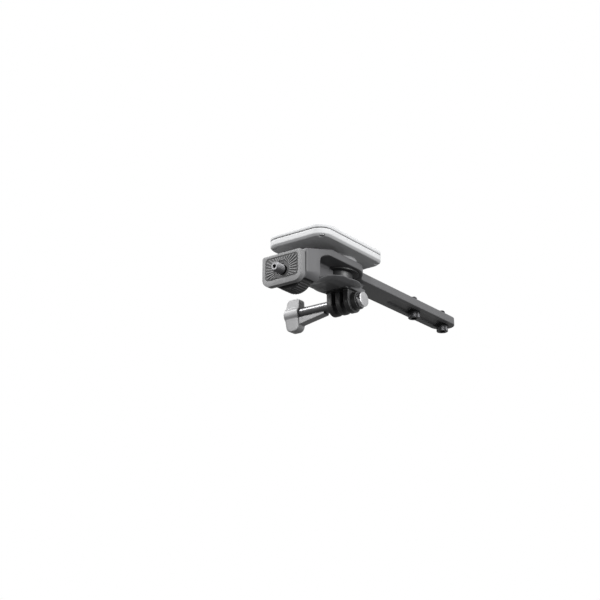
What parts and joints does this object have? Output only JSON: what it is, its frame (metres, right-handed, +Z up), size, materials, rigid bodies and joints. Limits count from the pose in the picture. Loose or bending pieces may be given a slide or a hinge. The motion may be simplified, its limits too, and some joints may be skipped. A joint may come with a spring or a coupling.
{
  "type": "out-front cycling computer mount",
  "caption": "Long stem arm carrying a quarter-turn cycling computer, a front plate with a camera screw and a finger bracket for a light.",
  "frame": {"origin": "midway between the two stem bolts, on the arm's top face", "axes": "+Y back along the arm to the stem, +Z up and along the stem bolts, +X to the rider's left"},
  "size_m": [0.0688, 0.208, 0.0472],
  "materials": {
    "arm_composite": "matt charcoal glass-filled plastic",
    "plate_plastic": "satin grey plastic",
    "pad_rubber": "ribbed grey rubber",
    "socket_plastic": "black plastic",
    "bracket_plastic": "black plastic",
    "wheel_plastic": "black knurled plastic",
    "steel": "satin stainless steel",
    "dull_steel": "dull plated steel",
    "cover_screw": "pale painted steel",
    "black_steel": "black oxide steel",
    "bronze": "plain bronze",
    "sleeve_metal": "dark anodised aluminium",
    "knob_metal": "satin grey plastic",
    "casing_plastic": "satin pale grey plastic",
    "screen_glass": "gloss pale cover window",
    "display": "plain unlit display",
    "seal_rubber": "soft seal",
    "frame_metal": "stamped sheet",
    "board": "printed circuit board",
    "ceramic": "ceramic patch",
    "battery_foil": "foil pouch",
    "key_rubber": "grey moulded rubber"
  },
  "bodies": {
    "mount": {"arm_body": "arm_composite", "front_plate": "plate_plastic", "grip_pad": "pad_rubber", "plate_screws": "steel", "turn_socket": "socket_plastic", "socket_screws": "steel", "detent_ball": "steel", "detent_spring": "steel", "light_bracket": "bracket_plastic", "bracket_screws": "black_steel", "captive_nut": "steel", "stem_bolt_front": "black_steel", "stem_bolt_rear": "black_steel", "bolt_washers": "black_steel", "wheel_bush": "bronze"},
    "camera_screw": {"camera_stud": "dull_steel", "camera_wheel": "wheel_plastic", "wheel_grub_screw": "black_steel"},
    "light_screw": {"clamp_bolt": "steel", "clamp_sleeve": "sleeve_metal", "wing_knob": "knob_metal", "end_cap": "steel"},
    "computer": {"back_shell": "casing_plastic", "top_bezel": "casing_plastic", "cover_glass": "screen_glass", "display_panel": "display", "shell_gasket": "seal_rubber", "mid_frame": "frame_metal", "main_board": "board", "shield_can": "steel", "satellite_antenna": "ceramic", "battery": "battery_foil", "usb_socket": "steel", "buzzer": "board", "button_switches": "steel", "shell_screws": "cover_screw", "turn_foot": "casing_plastic", "foot_screws": "steel"},
    "power_key": {"power_button": "key_rubber"},
    "start_key": {"start_button": "key_rubber"},
    "lap_key": {"lap_button": "key_rubber"},
    "port_flap": {"port_cover": "key_rubber"}
  },
  "joints": [
    {"name": "computer_turn", "type": "hinge", "parent": "mount", "child": "computer", "pos_m": [0, -0.1145, 0], "axis": [0, 0, 1], "range_deg": [0, 90]},
    {"name": "camera_screw_turn", "type": "hinge", "parent": "mount", "child": "camera_screw", "pos_m": [0, -0.1595, -0.0182], "axis": [0, -1, 0], "continuous": true},
    {"name": "light_screw_turn", "type": "hinge", "parent": "mount", "child": "light_screw", "pos_m": [0, -0.1065, -0.0226], "axis": [1, 0, 0], "continuous": true},
    {"name": "power_press", "type": "slide", "parent": "computer", "child": "power_key", "axis": [1, 0, 0], "range_m": [0, 0.0006], "stiffness_N_per_m": 400},
    {"name": "start_press", "type": "slide", "parent": "computer", "child": "start_key", "axis": [0, -1, 0], "range_m": [0, 0.0006], "stiffness_N_per_m": 400},
    {"name": "lap_press", "type": "slide", "parent": "computer", "child": "lap_key", "axis": [0, -1, 0], "range_m": [0, 0.0006], "stiffness_N_per_m": 400},
    {"name": "port_open", "type": "hinge", "parent": "computer", "child": "port_flap", "pos_m": [0, -0.08995, 0.0056], "axis": [-1, 0, 0], "range_deg": [0, 110], "stiffness_Nm_per_rad": 0.002}
  ]
}
